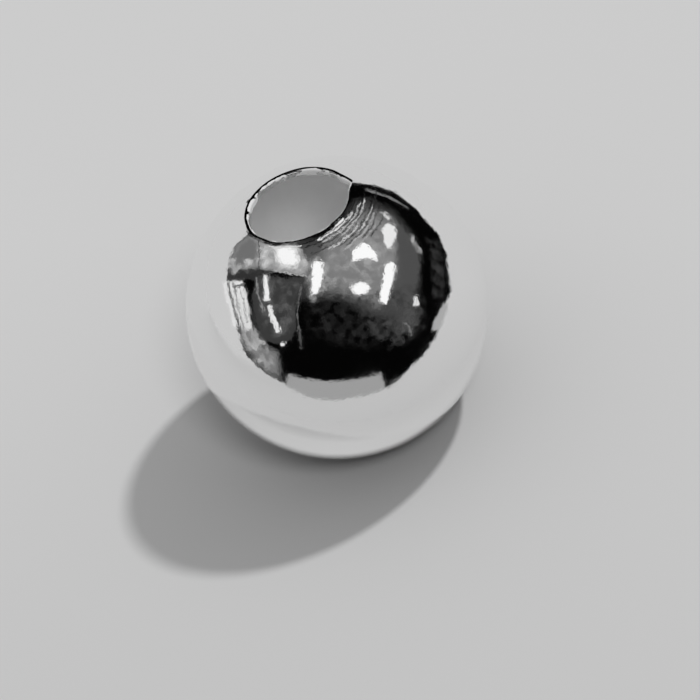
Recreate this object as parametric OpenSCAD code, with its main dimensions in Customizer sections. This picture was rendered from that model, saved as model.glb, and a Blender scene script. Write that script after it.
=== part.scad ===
// A hollow silver bead: one seamless ball of formed sheet, open through both ends for a cord.
// The edge of each hole is rounded over on the outside and dressed flat on its crest.
// One side of the upper hole has been pulled out into a corner.
// The bead stands on its lower edge, with the hole's axis upright. Sizes are in millimetres.

/* [Ball] */
// Outside diameter of the ball
ball_d = 10; // [8:0.1:14]
// Thickness of the silver sheet
wall = 0.3; // [0.2:0.02:0.6]

/* [Cord hole] */
// Clear diameter of the hole through both ends
hole_d = 3.25; // [2:0.05:4]
// Radius of the rounding on the outside of each edge
edge_r = 0.12; // [0.08:0.01:0.2]
// Width of the flat on the crest of each edge
crest_flat = 0.06; // [0.03:0.01:0.1]

/* [Pulled corner] */
// How far the corner of the upper hole stands out past the round hole
corner_reach = 0.16; // [0.06:0.01:0.34]
// Direction of the corner about the axis, from +X towards +Y
corner_angle = 6; // [0:1:359]

/* [Hidden] */
$fn = 144;

ball_r = ball_d / 2;
hole_r = hole_d / 2;

// Where a rounded edge runs into the ball's outside it stands this far out of it, so that the
// two surfaces cross cleanly. The corner's edges stand out a little more than the round ones.
round_crossing = 0.001;
side_crossing = 0.002;

// Centre of the rounding on an edge whose wall stands at this distance from the hole's axis:
// its own distance from the axis, and its height above the ball's centre.
function lip(wall_at, crossing) = [
    wall_at + edge_r,
    sqrt(pow(ball_r - edge_r + crossing, 2) - pow(wall_at + edge_r, 2)),
];
round_lip = lip(hole_r, round_crossing);

// The crest is a chord across the rounding, and the two crests set the bead's height.
crest_h = round_lip[1] + sqrt(pow(edge_r, 2) - pow(crest_flat / 2, 2));

// The corner's two straight sides run just inside the round hole's tangents and meet at
// the corner, and each stands square to a direction this far to one side of the corner.
side_r = 0.99 * hole_r;
side_lip = lip(side_r, side_crossing);
corner_spread = acos(side_r / (hole_r + corner_reach));

// Half section of the sheet beside an edge whose rounding has the given centre, with the
// distance from the hole's axis across and the height above the ball's centre up. The
// ball's own edge is cut along a line from its centre through that of the rounding.
module edge_section(centre) {
    difference() {
        union() {
            intersection() {
                circle(ball_r);
                polygon([[0, 0], 2 * centre, 2 * [ball_r, ball_r], [2 * ball_r, 0]]);
            }
            translate(centre) circle(edge_r);
            translate([centre[0] - edge_r, 0]) square([edge_r, centre[1]]);
        }
        circle(ball_r - wall);
    }
}

// The ball with a round hole through both ends.
module round_shell() {
    rotate_extrude() {
        edge_section(round_lip);
        mirror([0, 1]) edge_section(round_lip);
    }
}

// The space on the hole's side of one straight edge of the corner, from inside the hollow
// to well outside the ball. A ball is round about every axis through its centre, so the
// edge's section is turned about a level axis here.
module straight_side_space(direction) {
    sweep = 60;
    rotate([0, 0, direction]) rotate([0, 90, 0]) rotate([0, 0, 180 - sweep / 2])
        rotate_extrude(angle = sweep) mirror([1, -1, 0]) difference() {
            polygon([[0, side_lip[1] / 2], side_lip / 2, 2 * side_lip, [0, ball_d]]);
            edge_section(side_lip);
        }
}

// What the corner takes out of the round shell: the space in front of both straight edges,
// from the hole's axis outwards between the two directions that the edges stand square to.
module corner_space() {
    intersection() {
        linear_extrude(ball_d) polygon([
            [0, 0],
            for (side = [-1, 1])
                let (turn = corner_angle + side * corner_spread)
                    ball_d * [cos(turn), sin(turn)],
        ]);
        straight_side_space(corner_angle - corner_spread);
        straight_side_space(corner_angle + corner_spread);
    }
}

module bead() {
    color("silver") translate([0, 0, crest_h]) intersection() {
        difference() {
            round_shell();
            corner_space();
        }
        translate([-ball_r, -ball_r, -crest_h]) cube([ball_d, ball_d, 2 * crest_h]);
    }
}

bead();
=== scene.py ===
import math

import bmesh
import bpy
from mathutils import Matrix, Vector


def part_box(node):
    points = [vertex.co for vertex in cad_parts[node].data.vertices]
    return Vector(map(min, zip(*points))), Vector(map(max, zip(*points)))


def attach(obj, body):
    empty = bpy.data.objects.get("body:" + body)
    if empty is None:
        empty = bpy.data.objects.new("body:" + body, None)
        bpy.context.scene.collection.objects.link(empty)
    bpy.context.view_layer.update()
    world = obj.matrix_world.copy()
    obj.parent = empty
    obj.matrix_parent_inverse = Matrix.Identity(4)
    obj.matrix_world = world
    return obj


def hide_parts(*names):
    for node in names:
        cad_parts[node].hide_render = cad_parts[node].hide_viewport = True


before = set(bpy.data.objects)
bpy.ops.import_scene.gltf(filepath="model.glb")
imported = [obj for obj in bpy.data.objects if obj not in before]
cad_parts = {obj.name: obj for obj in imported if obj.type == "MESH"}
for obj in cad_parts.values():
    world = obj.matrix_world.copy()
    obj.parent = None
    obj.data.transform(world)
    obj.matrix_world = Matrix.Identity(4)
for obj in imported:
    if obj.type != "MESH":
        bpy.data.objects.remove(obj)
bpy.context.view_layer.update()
MM = 0.001

# ---------------------------------------------------------------------------- the bead
# One seamless ball of formed silver sheet, open through both ends for a cord. The edge of
# each hole is rounded over on the outside and dressed flat on its crest, and one side of
# the upper hole has been pulled out into a corner.
low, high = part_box("bead")
ball_r = 5 * MM
wall = 0.3 * MM
hole_r = 1.625 * MM
edge_r = 0.12 * MM
crest_flat = 0.06 * MM
corner_reach = 0.16 * MM
corner_angle = math.radians(6)
centre_z = (low.z + high.z) / 2
BALL_CENTRE = Vector((0, 0, centre_z))
UP = Vector((0, 0, 1))

inner_r = ball_r - wall
lip_x = hole_r + edge_r
lip_z = math.sqrt((ball_r - edge_r) ** 2 - lip_x ** 2)
lip_r = math.hypot(lip_x, lip_z)
lip_centre = Vector((lip_x, 0, lip_z))
outer_arc = math.atan2(lip_z, lip_x)
flat_half = math.asin(crest_flat / 2 / edge_r)
neck_foot = math.sqrt(inner_r ** 2 - hole_r ** 2)
inner_arc = math.atan2(neck_foot, hole_r)
COLUMNS = 128


def spin_section(steps, angle, centre):
    """Draws an arc on from the selected point, about a level axis through the centre."""
    bpy.ops.mesh.spin(steps=steps, angle=angle, center=centre, axis=(0, 1, 0))


def extrude_section(step, times):
    """Draws a straight stretch on from the selected point, in equal steps."""
    for _ in range(times):
        bpy.ops.mesh.extrude_region_move(TRANSFORM_OT_translate={"value": step / times})


bpy.ops.object.select_all(action="DESELECT")
bpy.ops.mesh.primitive_plane_add(size=MM, location=(0, 0, 0))
bead = bpy.context.object
bead.name = bead.data.name = "bead_polished"
bpy.ops.object.mode_set(mode="EDIT")
bpy.ops.mesh.select_all(action="SELECT")
bpy.ops.mesh.merge(type="CENTER")
bpy.ops.transform.translate(value=(ball_r, 0, 0))
spin_section(40, outer_arc, (0, 0, 0))
spin_section(3, math.pi / 2 - flat_half - outer_arc, lip_centre)
extrude_section(Vector((-crest_flat, 0, 0)), 2)
spin_section(12, math.pi / 2 - flat_half, lip_centre)
extrude_section(Vector((0, 0, neck_foot - lip_z)), 3)
spin_section(28, -inner_arc, (0, 0, 0))
bpy.ops.mesh.select_all(action="SELECT")
bpy.ops.mesh.spin(steps=COLUMNS, angle=math.tau, center=(0, 0, 0), axis=(0, 0, 1))
bpy.ops.mesh.select_all(action="SELECT")
bpy.ops.mesh.remove_doubles(threshold=edge_r / 100)
bpy.ops.mesh.normals_make_consistent(inside=False)
bpy.ops.object.mode_set(mode="OBJECT")

edge = bead.vertex_groups.new(name="edge")
for vert in bead.data.vertices:
    out = math.hypot(vert.co.x, vert.co.y)
    if out < lip_x + edge_r / 2 and vert.co.z > neck_foot + edge_r / 50:
        edge.add([vert.index], min((lip_x + edge_r / 2 - out) / edge_r, 1), "REPLACE")

mirror = bead.modifiers.new("lower_half", "MIRROR")
mirror.use_axis = (False, False, True)
mirror.merge_threshold = edge_r / 100
bpy.ops.object.modifier_apply(modifier=mirror.name)


# The edge's own small faults: how far it lies in from the round (below 0) or out of it, at
# these azimuths in degrees.
edge_faults = [
    (0, 0), (30, 0), (50, -0.02), (64, -0.01), (68, 0.01), (84, -0.012), (110, 0.008),
    (150, -0.008), (200, 0.008), (240, -0.01), (262, 0.01), (300, -0.012), (330, 0), (360, 0),
]


def edge_fault(azimuth):
    """How far the edge lies out of the round at this azimuth, between the listed places."""
    degrees = math.degrees(azimuth) % 360
    for (start, low), (end, high) in zip(edge_faults, edge_faults[1:]):
        if degrees <= end:
            return (low + (high - low) * (degrees - start) / (end - start)) * MM


def lip_turn(azimuth):
    """How far the edge is turned outwards over the ball at this azimuth, in radians."""
    side_r = 0.99 * hole_r
    spread = math.acos(side_r / (hole_r + corner_reach))
    off = abs(math.remainder(azimuth - corner_angle, math.tau))
    reach = lip_x + edge_fault(azimuth)
    if off < spread:
        reach = max((side_r + edge_r) / math.cos(spread - off), lip_x)
    return math.asin(reach / lip_r) - math.asin(lip_x / lip_r)


def show_only(wanted):
    """Hides the vertices that fail a test on their place, so that no operator moves them."""
    edit = bmesh.from_edit_mesh(bead.data)
    for vert in edit.verts:
        vert.select = not wanted(vert.co)
    edit.select_flush_mode()
    bmesh.update_edit_mesh(bead.data)
    bpy.ops.mesh.hide(unselected=False)


def select_shown(wanted):
    """Selects the vertices that are shown and pass a test on their place."""
    edit = bmesh.from_edit_mesh(bead.data)
    for vert in edit.verts:
        vert.select = not vert.hide and wanted(vert.co)
    edit.select_flush_mode()
    bmesh.update_edit_mesh(bead.data)


# Each column of the upper half is turned outwards over the ball: the whole turn at the edge,
# and less and less of it over the ball beyond.
fade_reach = 2.2 * MM
bpy.ops.object.mode_set(mode="EDIT")
bpy.ops.mesh.select_mode(type="VERT")
for column in range(COLUMNS):
    azimuth = math.tau * column / COLUMNS
    turn = lip_turn(azimuth)
    if abs(turn) < 1e-5:
        continue
    out = Vector((math.cos(azimuth), math.sin(azimuth), 0))
    across = UP.cross(out)
    show_only(lambda co: co.z > ball_r / 2 and co.dot(out) > 0 and abs(co.dot(across)) < edge_r / 50)
    select_shown(lambda co: co.dot(out) < lip_x + edge_r / 2 and co.z > neck_foot - edge_r / 50)
    bpy.ops.transform.rotate(
        value=-turn, center_override=(0, 0, 0),
        orient_axis="Y", orient_matrix=Matrix((out, across, UP)).transposed(),
        use_proportional_edit=True, proportional_edit_falloff="SMOOTH",
        proportional_size=fade_reach,
    )
    bpy.ops.mesh.reveal(select=False)
bpy.ops.object.mode_set(mode="OBJECT")

bpy.ops.object.mode_set(mode="EDIT")
bpy.ops.mesh.select_all(action="SELECT")
bpy.ops.transform.translate(value=BALL_CENTRE)
bpy.ops.object.mode_set(mode="OBJECT")
smooth = bead.modifiers.new("smooth", "SUBSURF")
smooth.levels = smooth.render_levels = 1
bpy.ops.object.modifier_apply(modifier=smooth.name)


def dent(name, depth, across, **limits):
    """Wears the surface in by up to this depth, in shallow dents of about this size."""
    texture = bpy.data.textures.new(name, "CLOUDS")
    texture.noise_scale = across
    wear = bead.modifiers.new(name, "DISPLACE")
    wear.texture = texture
    wear.texture_coords = "LOCAL"
    wear.mid_level = 1
    wear.strength = depth
    for setting, value in limits.items():
        setattr(wear, setting, value)
    bpy.ops.object.modifier_apply(modifier=name)


dent("edge_wear", 0.05 * MM, 0.6 * MM, vertex_group="edge")
dent("waviness", 0.006 * MM, 1.6 * MM)
bpy.ops.object.shade_smooth()

# How far each point lies on the edge's inner side, kept for the finish: 1 at the hole, 0 away.
# The group is found by its name, because applying a modifier makes the groups anew.
edge_number = bead.vertex_groups["edge"].index
inner_side = bead.data.attributes.new("inner_side", "FLOAT", "POINT")
for vert in bead.data.vertices:
    for group in vert.groups:
        if group.group == edge_number:
            inner_side.data[vert.index].value = group.weight


def node(tree, kind, place, **settings):
    """Adds a node of this kind to a material, at this place on its sheet."""
    made = tree.nodes.new(kind)
    made.location = place
    for name, value in settings.items():
        setattr(made, name, value)
    return made


silver = bpy.data.materials.new("polished_silver")
silver.use_nodes = True
tree = silver.node_tree
link = tree.links.new
shader = tree.nodes["Principled BSDF"]
shader.inputs["Base Color"].default_value = (0.95, 0.95, 0.95, 1)
place = node(tree, "ShaderNodeTexCoord", (-1800, 0))
from_centre = node(tree, "ShaderNodeVectorMath", (-1600, 300), operation="SUBTRACT")
from_centre.inputs[1].default_value = BALL_CENTRE
link(place.outputs["Object"], from_centre.inputs[0])

# The hollow's own surface, as it was formed, is matt and white; the rest is polished.
depth = node(tree, "ShaderNodeVectorMath", (-1400, 300), operation="LENGTH")
inside = node(tree, "ShaderNodeMath", (-1200, 300), operation="LESS_THAN")
inside.inputs[1].default_value = inner_r + 0.02 * MM
metal = node(tree, "ShaderNodeMath", (-1000, 400), operation="SUBTRACT")
metal.inputs[0].default_value = 1
link(from_centre.outputs[0], depth.inputs[0])
link(depth.outputs["Value"], inside.inputs[0])

# The wheel missed the inner side of the edge in patches, which stay matt and white too. They
# start at the hole and reach further up the rounding in some places than in others.
patch_scale = 2.1 / MM
patch_unevenness = 2.2
patch_start = 2.02
patch_full = 2.08
crest_side = 0.45
edge_side = node(tree, "ShaderNodeAttribute", (-1800, 700), attribute_name="inner_side")
patches = node(tree, "ShaderNodeTexNoise", (-1800, 550), noise_dimensions="4D")
patches.inputs["Scale"].default_value = patch_scale
patches.inputs["Detail"].default_value = 2
patches.inputs["W"].default_value = 3
link(place.outputs["Object"], patches.inputs["Vector"])
patch_reach = node(tree, "ShaderNodeMath", (-1600, 600), operation="MULTIPLY_ADD")
patch_reach.inputs[1].default_value = patch_unevenness
link(patches.outputs["Fac"], patch_reach.inputs[0])
link(edge_side.outputs["Fac"], patch_reach.inputs[2])
missed = node(tree, "ShaderNodeMapRange", (-1400, 600), interpolation_type="SMOOTHSTEP")
missed.inputs["From Min"].default_value = patch_start
missed.inputs["From Max"].default_value = patch_full
link(patch_reach.outputs[0], missed.inputs["Value"])
on_edge = node(tree, "ShaderNodeMath", (-1400, 800), operation="GREATER_THAN")
on_edge.inputs[1].default_value = crest_side
link(edge_side.outputs["Fac"], on_edge.inputs[0])
edge_missed = node(tree, "ShaderNodeMath", (-1200, 700), operation="MULTIPLY")
link(missed.outputs[0], edge_missed.inputs[0])
link(on_edge.outputs[0], edge_missed.inputs[1])
matt = node(tree, "ShaderNodeMath", (-1050, 550), operation="MAXIMUM")
link(inside.outputs[0], matt.inputs[0])
link(edge_missed.outputs[0], matt.inputs[1])
link(matt.outputs[0], metal.inputs[1])
link(metal.outputs[0], shader.inputs["Metallic"])

# The polish: a little duller in cloudy patches.
haze = node(tree, "ShaderNodeTexNoise", (-1400, 0))
haze.inputs["Scale"].default_value = 0.9 / MM
haze.inputs["Detail"].default_value = 6
gloss = node(tree, "ShaderNodeMapRange", (-1200, 0))
gloss.inputs["From Min"].default_value = 0.35
gloss.inputs["From Max"].default_value = 0.7
gloss.inputs["To Min"].default_value = 0.045
gloss.inputs["To Max"].default_value = 0.11
rough = node(tree, "ShaderNodeMath", (-1000, 0), operation="MAXIMUM")
link(place.outputs["Object"], haze.inputs["Vector"])
link(haze.outputs["Fac"], gloss.inputs["Value"])
link(gloss.outputs[0], rough.inputs[0])
dull = node(tree, "ShaderNodeMath", (-1200, -250), operation="MULTIPLY")
dull.inputs[1].default_value = 0.9
link(matt.outputs[0], dull.inputs[0])
link(dull.outputs[0], rough.inputs[1])
link(rough.outputs[0], shader.inputs["Roughness"])

# Fine ridges run round the upper hole, where its edge was burnished. They are close together
# across and long round the hole, and fade out over the ball.
flat_place = node(tree, "ShaderNodeVectorMath", (-1400, -500), operation="MULTIPLY")
flat_place.inputs[1].default_value = (1, 1, 0)
link(from_centre.outputs[0], flat_place.inputs[0])
out_from_axis = node(tree, "ShaderNodeVectorMath", (-1200, -500), operation="LENGTH")
link(flat_place.outputs[0], out_from_axis.inputs[0])
round_axis = node(tree, "ShaderNodeVectorMath", (-1200, -700), operation="NORMALIZE")
link(flat_place.outputs[0], round_axis.inputs[0])
ridge_long = node(tree, "ShaderNodeVectorMath", (-1000, -700), operation="SCALE")
ridge_long.inputs["Scale"].default_value = 2.6
link(round_axis.outputs[0], ridge_long.inputs[0])
ridge_across = node(tree, "ShaderNodeMath", (-1000, -500), operation="MULTIPLY")
ridge_across.inputs[1].default_value = 6.5 / MM
link(out_from_axis.outputs["Value"], ridge_across.inputs[0])
upright = node(tree, "ShaderNodeCombineXYZ", (-850, -500))
link(ridge_across.outputs[0], upright.inputs["Z"])
ridge_place = node(tree, "ShaderNodeVectorMath", (-700, -600), operation="ADD")
link(ridge_long.outputs[0], ridge_place.inputs[0])
link(upright.outputs[0], ridge_place.inputs[1])
ridges = node(tree, "ShaderNodeTexNoise", (-550, -600))
ridges.inputs["Scale"].default_value = 1
ridges.inputs["Detail"].default_value = 3
ridges.inputs["Distortion"].default_value = 0.8
link(ridge_place.outputs[0], ridges.inputs["Vector"])
fade = node(tree, "ShaderNodeMapRange", (-700, -850), interpolation_type="SMOOTHSTEP")
fade.inputs["From Min"].default_value = lip_x + 0.1 * MM
fade.inputs["From Max"].default_value = lip_x + 1.5 * MM
fade.inputs["To Min"].default_value = 1
fade.inputs["To Max"].default_value = 0
link(out_from_axis.outputs["Value"], fade.inputs["Value"])
height = node(tree, "ShaderNodeSeparateXYZ", (-1400, -900))
link(from_centre.outputs[0], height.inputs[0])
upper = node(tree, "ShaderNodeMath", (-1200, -900), operation="GREATER_THAN")
link(height.outputs["Z"], upper.inputs[0])
near_hole = node(tree, "ShaderNodeMath", (-500, -850), operation="MULTIPLY")
link(fade.outputs[0], near_hole.inputs[0])
link(upper.outputs[0], near_hole.inputs[1])
ridge_bump = node(tree, "ShaderNodeBump", (-300, -600))
ridge_bump.inputs["Distance"].default_value = 0.03 * MM
link(near_hole.outputs[0], ridge_bump.inputs["Strength"])
link(ridges.outputs["Fac"], ridge_bump.inputs["Height"])

# Shallow unevenness left by the polishing wheel, laid over the ridges.
wheel = node(tree, "ShaderNodeTexNoise", (-700, -1150))
wheel.inputs["Scale"].default_value = 2.4 / MM
wheel.inputs["Detail"].default_value = 3
link(place.outputs["Object"], wheel.inputs["Vector"])
wheel_bump = node(tree, "ShaderNodeBump", (-100, -700))
wheel_bump.inputs["Strength"].default_value = 1
wheel_bump.inputs["Distance"].default_value = 0.008 * MM
link(wheel.outputs["Fac"], wheel_bump.inputs["Height"])
link(ridge_bump.outputs[0], wheel_bump.inputs["Normal"])
link(wheel_bump.outputs[0], shader.inputs["Normal"])
bead.data.materials.append(silver)

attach(bead, "root")
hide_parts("bead")

# ---------------------------------------------------------------------------- the camera
# It looks down on the bead from the front and is rolled a little, so that the hole's axis
# leans to the left in the render.
PICTURE = 700
SENSOR = 36.0
ball_px = (337.5, 307.5)
px_per_mm = 30.4
look_down = math.radians(41)
axis_lean = math.radians(21.3)
lens = 200.0

to_camera = Vector((0, -math.cos(look_down), math.sin(look_down)))
level_right = Vector((1, 0, 0))
level_up = to_camera.cross(level_right)
picture_right = level_right * math.cos(axis_lean) - level_up * math.sin(axis_lean)
picture_up = level_right * math.sin(axis_lean) + level_up * math.cos(axis_lean)
camera_far = lens / SENSOR * PICTURE / px_per_mm * MM
eye = (
    BALL_CENTRE + to_camera * camera_far
    + picture_right * (PICTURE / 2 - ball_px[0]) / px_per_mm * MM
    - picture_up * (PICTURE / 2 - ball_px[1]) / px_per_mm * MM
)
camera_data = bpy.data.cameras.new("camera")
camera_data.lens = lens
camera_data.sensor_width = SENSOR
camera_data.clip_start = 5 * MM
camera_data.clip_end = 5000 * MM
camera = bpy.data.objects.new("camera", camera_data)
camera_turn = Matrix((picture_right, picture_up, to_camera)).transposed()
camera.matrix_world = Matrix.Translation(eye) @ camera_turn.to_4x4()
bpy.context.scene.collection.objects.link(camera)
bpy.context.scene.camera = camera
scene = bpy.context.scene
scene.view_settings.view_transform = "Standard"
scene.cycles.max_bounces = 40
scene.cycles.diffuse_bounces = 32
scene.cycles.glossy_bounces = 8
scene.cycles.blur_glossy = 0
scene.cycles.transparent_max_bounces = 60
scene.cycles.caustics_reflective = False

# ---------------------------------------------------------------------------- the floor
# A sheet of pale matt paper, which the bead stands on. Its colour carries painted shade: it dips
# darker in a broad band on the camera's side of the bead, and is back to the full tone beyond.
floor_tone = 0.604
floor_white = 0.8
# The paper's colour at the darkest of its painted shade.
floor_painted_shade = 0.7
bpy.ops.mesh.primitive_plane_add(size=4000 * MM, location=(0, 0, 0))
floor = bpy.context.object
floor.name = "floor"
paper = bpy.data.materials.new("paper")
paper.use_nodes = True
shader = paper.node_tree.nodes["Principled BSDF"]
shader.inputs["Roughness"].default_value = 0.9
shader.inputs["Specular IOR Level"].default_value = 0
place = node(paper.node_tree, "ShaderNodeTexCoord", (-1000, 0))
nearness = node(paper.node_tree, "ShaderNodeVectorMath", (-800, 0), operation="DOT_PRODUCT")
nearness.inputs[1].default_value = (picture_up.x, picture_up.y, 0)
spread = node(paper.node_tree, "ShaderNodeMapRange", (-600, 0))
spread.inputs["From Min"].default_value = -60 * MM
spread.inputs["From Max"].default_value = 6 * MM
# Painted shade: this ramp darkens the paper's colour in a band on the camera's side of the bead.
white = node(paper.node_tree, "ShaderNodeValToRGB", (-400, 0))
stops = white.color_ramp.elements
stops[0].color = stops[1].color = (floor_white, floor_white, floor_white, 1)
stops.new(0.65).color = (floor_painted_shade, floor_painted_shade, floor_painted_shade, 1)
paper.node_tree.links.new(place.outputs["Object"], nearness.inputs[0])
paper.node_tree.links.new(nearness.outputs["Value"], spread.inputs["Value"])
paper.node_tree.links.new(spread.outputs[0], white.inputs["Fac"])
paper.node_tree.links.new(white.outputs["Color"], shader.inputs["Base Color"])
floor.data.materials.append(paper)


# ---------------------------------------------------------------------------- the light
# Two soft lamps far overhead and the glow of the room. Where both lamps and the room reach it,
# the paper has the same tone as the room behind it.
def sun_lamp(name, azimuth, elevation, softness, share):
    """A soft distant lamp that gives the paper this share of its tone, from this side."""
    data = bpy.data.lights.new(name, "SUN")
    data.angle = math.radians(softness)
    up = math.sin(math.radians(elevation))
    data.energy = share * floor_tone / floor_white * math.pi / up
    lamp = bpy.data.objects.new(name, data)
    level = math.cos(math.radians(elevation))
    side = math.radians(azimuth)
    lamp.rotation_mode = "QUATERNION"
    to_lamp = Vector((level * math.cos(side), level * math.sin(side), up))
    lamp.rotation_quaternion = to_lamp.to_track_quat("Z", "Y")
    lamp.visible_glossy = lamp.visible_camera = False
    scene.collection.objects.link(lamp)


key_share = 0.42
front_share = 0.17
sun_lamp("key_lamp", 12, 55.5, 4, key_share)
sun_lamp("front_lamp", -77.5, 47.5, 14, front_share)

room = bpy.data.worlds.new("room")
scene.world = room
room.use_nodes = True
glow = room.node_tree.nodes["Background"]
glow.inputs["Color"].default_value = (1, 1, 1, 1)
path = node(room.node_tree, "ShaderNodeLightPath", (-600, 0))
strength = node(room.node_tree, "ShaderNodeMapRange", (-300, 0))
strength.inputs["To Min"].default_value = floor_tone
strength.inputs["To Max"].default_value = (1 - key_share - front_share) * floor_tone / floor_white
room.node_tree.links.new(path.outputs["Is Diffuse Ray"], strength.inputs["Value"])
room.node_tree.links.new(strength.outputs[0], glow.inputs["Strength"])


# ---------------------------------------------------------------------------- the room in the silver
# The dark room, its bright windows and its lamps, which only the silver mirrors. Each is a card
# that stands where its outline shows in the render, and the later ones stand before the others.
card_far = 7.8 * MM
card_step = 0.06 * MM
above_floor = 0.97
card_piece = 8
cloud_scale = 1.1 / MM


def mirrored(pixel, layer):
    """The place that the ball mirrors at a pixel, on a dome close above the floor."""
    along = (
        picture_right * (pixel[0] - PICTURE / 2) / PICTURE * SENSOR
        + picture_up * (PICTURE / 2 - pixel[1]) / PICTURE * SENSOR
        - to_camera * lens
    ).normalized()
    to_ball = BALL_CENTRE - eye
    nearest = to_ball.dot(along)
    miss = (to_ball - along * nearest).length
    hit = eye + along * (nearest - math.sqrt(max(ball_r ** 2 - miss ** 2, 0)))
    normal = (hit - BALL_CENTRE).normalized()
    direction = along - 2 * along.dot(normal) * normal
    far = card_far - card_step * layer
    if direction.z < 0:
        far = min(far, above_floor * hit.z / -direction.z)
    return hit + direction * far


def mirror_card(name, layer, tone, soft, patchy, outline):
    """A glowing card of this tone, whose edge fades over this many pixels of the render.

    A patchy card covers what lies behind it only in clouds.
    """
    flat = bmesh.new()
    cover = flat.verts.layers.float.new("cover")
    face = flat.faces.new([flat.verts.new((x, y, 0)) for x, y in outline])
    flat.normal_update()
    bmesh.ops.inset_region(flat, faces=[face], thickness=soft, use_boundary=True, use_even_offset=True)
    for vert in face.verts:
        vert[cover] = 1
    bmesh.ops.triangulate(flat, faces=flat.faces)
    for _ in range(5):
        long_edges = [edge for edge in flat.edges if edge.calc_length() > card_piece]
        bmesh.ops.subdivide_edges(flat, edges=long_edges, cuts=1)
        bmesh.ops.triangulate(flat, faces=flat.faces)
    for vert in flat.verts:
        vert.co = mirrored(vert.co, layer)
    glow_card(name, tone, patchy, flat)


def glow_card(name, tone, patchy, shape):
    """Makes the card from its shape, with a glow that only the silver mirrors."""
    mesh = bpy.data.meshes.new(name)
    shape.to_mesh(mesh)
    shape.free()
    material = bpy.data.materials.new(name)
    material.use_nodes = True
    tree = material.node_tree
    tree.nodes.remove(tree.nodes["Principled BSDF"])
    light = node(tree, "ShaderNodeEmission", (-400, 100))
    light.inputs["Strength"].default_value = (tone / 255) ** 2.2
    clear = node(tree, "ShaderNodeBsdfTransparent", (-400, -50))
    edge = node(tree, "ShaderNodeAttribute", (-400, 300), attribute_name="cover")
    blend = node(tree, "ShaderNodeMixShader", (-100, 0))
    tree.links.new(edge.outputs["Fac"], blend.inputs[0])
    if patchy:
        here = node(tree, "ShaderNodeTexCoord", (-1200, 500))
        clouds = node(tree, "ShaderNodeTexNoise", (-1000, 500))
        clouds.inputs["Scale"].default_value = cloud_scale
        clouds.inputs["Detail"].default_value = 5
        amount = node(tree, "ShaderNodeMapRange", (-800, 500))
        amount.inputs["From Min"].default_value = 0.42
        amount.inputs["From Max"].default_value = 0.66
        cloudy = node(tree, "ShaderNodeMath", (-250, 350), operation="MULTIPLY")
        tree.links.new(here.outputs["Object"], clouds.inputs["Vector"])
        tree.links.new(clouds.outputs["Fac"], amount.inputs["Value"])
        tree.links.new(amount.outputs[0], cloudy.inputs[0])
        tree.links.new(edge.outputs["Fac"], cloudy.inputs[1])
        tree.links.new(cloudy.outputs[0], blend.inputs[0])
    tree.links.new(clear.outputs[0], blend.inputs[1])
    tree.links.new(light.outputs[0], blend.inputs[2])
    tree.links.new(blend.outputs[0], tree.nodes["Material Output"].inputs["Surface"])
    mesh.materials.append(material)
    card = bpy.data.objects.new(name, mesh)
    scene.collection.objects.link(card)
    card.visible_camera = card.visible_diffuse = card.visible_shadow = False
    card.visible_transmission = card.visible_volume_scatter = False


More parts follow.
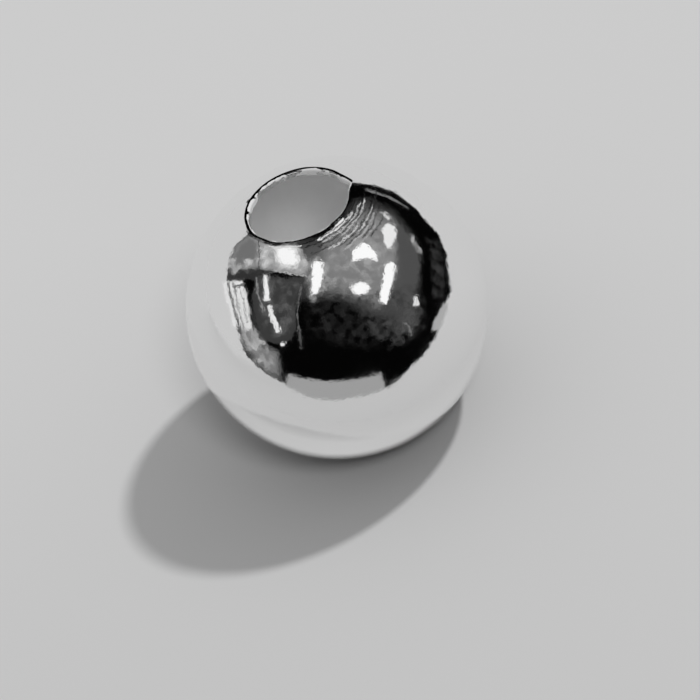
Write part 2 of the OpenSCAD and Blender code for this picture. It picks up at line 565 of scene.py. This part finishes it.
# Each card's tone, the width of its soft edge, whether it is patchy, and its outline in pixels
# of the render.
ROOM = {
    "dark_room": (12, 1.5, False, [
        (332, 178), (353, 182), (374, 184), (395, 191), (420, 211), (440, 236), (447, 254),
        (452, 290), (446, 305), (436, 338), (428, 350), (411, 369), (388, 388), (360, 394),
        (332, 398), (306, 394), (285, 384), (266, 375), (247, 354), (235, 327), (224, 284),
        (228, 271), (229, 256), (235, 245), (248, 232), (248, 200), (290, 178)]),
    "pale_step": (158, 2.5, False, [
        (284, 386), (287, 373), (310, 378), (330, 380), (351, 379), (382, 371), (388, 389),
        (360, 398), (332, 402), (306, 398)]),
    "ceiling": (84, 14, False, [
        (292, 236), (330, 232), (350, 196), (372, 196), (396, 208), (414, 232), (424, 262),
        (422, 290), (414, 326), (376, 322), (340, 304), (300, 302)]),
    "bright_ceiling": (124, 12, False, [
        (322, 240), (346, 212), (374, 206), (396, 216), (406, 246), (400, 290), (378, 312),
        (342, 300), (312, 268)]),
    "right_wall": (80, 3, False, [
        (392, 212), (409, 232), (420, 249), (422, 262), (421, 278), (416, 292), (420, 326),
        (400, 336), (392, 300), (396, 250)]),
    "far_glow": (150, 14, True, [
        (330, 236), (352, 212), (378, 206), (398, 222), (402, 262), (392, 306), (350, 304),
        (318, 300), (306, 276)]),
    "low_haze": (44, 14, True, [
        (300, 288), (350, 280), (424, 284), (426, 330), (398, 350), (350, 352), (306, 340)]),
    "low_wall": (74, 10, True, [
        (352, 300), (392, 296), (426, 296), (428, 328), (406, 346), (388, 352), (366, 330)]),
    "low_line": (120, 0.8, False, [
        (404, 322), (408, 324), (412, 330), (413, 336), (411, 336), (408, 328), (403, 324)]),
    "left_wall": (146, 4, False, [
        (250, 232), (275, 242), (298, 242), (312, 262), (308, 278), (262, 271), (226, 274),
        (228, 258), (236, 244)]),
    "left_wall_glow": (205, 6, True, [
        (262, 240), (298, 240), (312, 262), (306, 276), (262, 270), (234, 266), (240, 248)]),
    "left_wall_shade": (112, 4, False, [
        (250, 234), (259, 240), (258, 270), (228, 273), (230, 258), (238, 244)]),
    "left_wall_line": (40, 0.7, False, [(258, 238), (260, 238), (259.5, 272), (257.5, 272)]),
    "left_beam": (52, 1.5, False, [(227, 268), (262, 269), (262, 280), (226, 282)]),
    "left_beam_light": (200, 2, True, [(227, 258), (254, 258), (256, 272), (228, 276)]),
    "left_floor": (226, 2, False, [
        (221, 281), (243, 279), (246, 288), (250, 310), (255, 330), (246, 333), (232, 328),
        (225, 300)]),
    "left_floor_low": (120, 6, False, [
        (236, 326), (254, 328), (264, 343), (281, 350), (284, 382), (266, 376), (247, 354)]),
    "left_floor_glow": (190, 5, True, [
        (234, 322), (256, 324), (270, 346), (276, 366), (262, 372), (246, 352)]),
    "left_stripe": (60, 0.8, False, [(226, 282), (229, 282), (241, 330), (239, 334)]),
    "left_stripe_in": (120, 0.8, False, [(232, 282), (234.5, 282), (245, 328), (243, 332)]),
    "left_stripe_mid": (90, 0.7, False, [(239, 286), (240.5, 286), (248.5, 322), (247, 324)]),
    "left_stripe_cross": (90, 1, False, [(232, 285), (246, 283), (246, 286), (233, 288)]),
    "left_low_line": (60, 0.8, False, [(238, 332), (246, 350), (266, 371), (264, 372.5), (243, 352)]),
    "left_panel": (60, 2, False, [
        (256, 274), (309, 278), (300, 294), (296, 311), (297, 330), (291, 342), (282, 346),
        (262, 340), (254, 322), (251, 298)]),
    "left_panel_haze": (92, 5, True, [
        (258, 276), (306, 280), (296, 300), (294, 328), (282, 342), (264, 336), (256, 300)]),
    "panel_edge": (112, 0.8, False, [
        (301, 286), (303, 287), (298, 311), (300, 334), (302, 348), (300, 349), (298, 334),
        (296, 311)]),
    "panel_line": (178, 0.9, False, [(272, 269), (308, 276), (308, 278.5), (272, 271.5)]),
    "left_tube": (245, 1, False, [(262.5, 274), (268.5, 274), (270, 302), (264, 302)]),
    "left_tube_low": (235, 1, False, [(266, 306), (271, 305.5), (280.5, 332), (275, 334)]),
    "left_glint": (150, 0.8, False, [
        (255, 277), (257, 277), (258.5, 294), (265, 310), (263, 312), (256.5, 295)]),
    "small_light": (235, 1, False, [
        (280, 343), (282.4, 342), (285, 343), (285.5, 346), (282.4, 348), (280, 346)]),
    "small_light_stem": (20, 1, False, [(280.5, 348), (284, 348), (283, 362), (281.5, 362)]),
    "window": (250, 5, False, [
        (274, 247), (286, 243), (298, 247), (301, 262), (297, 269), (282, 268), (274, 259)]),
    "tube_glow": (170, 5, True, [
        (304, 262), (318, 252), (332, 264), (328, 292), (314, 306), (304, 296)]),
    "tube": (255, 1.4, False, [
        (312.5, 263), (315, 260), (321, 260), (324, 263), (323, 280), (318, 294), (310, 296),
        (311.5, 280)]),
    "lamp_glow": (170, 8, True, [
        (340, 256), (352, 238), (366, 234), (384, 246), (388, 268), (364, 270), (344, 268)]),
    "lamp": (255, 1.5, False, [
        (351, 254), (356, 246), (363.5, 242.5), (371, 246), (378, 254), (379, 262), (366, 259),
        (352, 262)]),
    "lamp_low": (255, 3, False, [
        (348, 288), (351, 283), (360, 280), (368, 282), (372, 288), (367, 295), (358, 297),
        (351, 294)]),
    "right_tube": (255, 1.4, False, [
        (384.5, 264), (388, 261.5), (394, 262), (396, 266), (394.5, 280), (389, 302),
        (386, 305), (379, 303), (378, 299), (382.5, 281)]),
    "right_window": (235, 2, False, [
        (381, 228), (388, 222), (396, 225), (397, 234), (392.5, 249), (385, 249), (383, 239)]),
    "right_glint": (220, 1.2, False, [
        (378, 212), (385, 211.5), (391, 217), (389, 221), (384, 215.5)]),
    "right_dash": (235, 1, False, [(414, 296), (418, 296), (418.5, 306), (414.5, 307)]),
    "right_edge": (205, 1, True, [
        (408, 231), (414, 234), (416, 243), (422, 249), (422.5, 256), (416, 251), (411, 241)]),
    "top_line": (130, 0.7, False, [
        (365, 188), (389, 195.5), (409, 208), (407.5, 209), (388, 197.5), (365, 190)]),
    "right_haze": (60, 3, True, [
        (424, 236), (440, 240), (446, 262), (444, 300), (432, 300), (430, 262)]),
    "right_floor": (170, 1.5, False, [
        (449, 303), (442, 303), (432, 323), (432, 333), (440, 330), (448, 312)]),
    "rim_glint": (240, 0.7, False, [
        (316, 238), (325, 232), (334, 224), (341, 215), (343.5, 218), (337, 229), (327, 237),
        (317, 241)]),
    "rim_band": (215, 0.7, False, [
        (268, 243), (284, 245), (302, 243.5), (302, 246.5), (284, 248), (268, 246)]),
}
for layer, (name, (tone, soft, patchy, outline)) in enumerate(ROOM.items()):
    mirror_card(name, layer, tone, soft, patchy, outline)

# Narrow lights and dark lines that the silver mirrors beside the near side of the hole: tone,
# distance out from its edge, width, and the stretch of the edge's ellipse that each runs
# beside, in degrees.
hole_px = (299, 205.5)
hole_half = (54, 33)
STREAKS = [
    (30, 3, 2, 20, 112), (235, 5.5, 2, 38, 74), (35, 8, 1.8, 16, 104), (225, 10, 1.4, 24, 84),
    (35, 12, 2, 12, 90), (215, 14.5, 1.4, 20, 68), (40, 16.5, 1.4, 30, 96), (235, 18.5, 1.5, 46, 84),
    (30, 20.5, 1.8, 16, 76), (215, 23, 1.4, 26, 60), (45, 25, 1.8, 10, 72), (190, 27.5, 1.3, 32, 78),
    (45, 30, 1.6, 22, 62), (180, 33, 1.2, 40, 70), (50, 36, 1.6, 30, 56),
]


def beside_hole(out, turn):
    """A pixel this far out from the hole's edge, at this turn about its ellipse."""
    x = (hole_half[0] + out) * math.cos(math.radians(turn))
    y = (hole_half[1] + out) * math.sin(math.radians(turn))
    across = (math.cos(axis_lean), -math.sin(axis_lean))
    return hole_px[0] + x * across[0] - y * across[1], hole_px[1] + x * across[1] + y * across[0]


for number, (tone, out, width, start, end) in enumerate(STREAKS):
    near_edge = [beside_hole(out, turn) for turn in range(start, end + 1, 6)]
    far_edge = [beside_hole(out + width, turn) for turn in range(start + 3, end - 2, 6)]
    mirror_card(f"streak_{number}", len(ROOM) + number, tone, 0.5, False, near_edge + far_edge[::-1])


def strip_card(name, tone, rows):
    """A glowing card from rows that run side by side, of places and how much each covers."""
    sheet = bmesh.new()
    cover = sheet.verts.layers.float.new("cover")
    lines = []
    for row in rows:
        line = []
        for place, amount in row:
            vert = sheet.verts.new(place)
            vert[cover] = amount
            line.append(vert)
        lines.append(line)
    for lower, higher in zip(lines, lines[1:]):
        for left in range(len(lower) - 1):
            sheet.faces.new((lower[left], lower[left + 1], higher[left + 1], higher[left]))
    glow_card(name, tone, False, sheet)


# A glowing card close above the floor under the bead, which only the silver mirrors: a painted
# reflection of floor paler than its shadow, laid where the silver would show the bead's shadow. From
# each end it widens inwards to a crescent.
crescent_out = 150.6
crescent_deep = 36
crescent = []
for part, amount in ((0, 0), (0.12, 1), (0.4, 1), (1, 0)):
    row = []
    for degrees in range(0, 181, 6):
        turn = math.radians(degrees)
        reach = crescent_out - part * crescent_deep * math.sin(turn)
        pixel = (ball_px[0] + reach * math.cos(turn), ball_px[1] + reach * math.sin(turn))
        row.append((mirrored(pixel, 0), amount * math.sqrt(abs(math.sin(turn)))))
    crescent.append(row)
strip_card("painted_floor_reflection", 196, crescent)
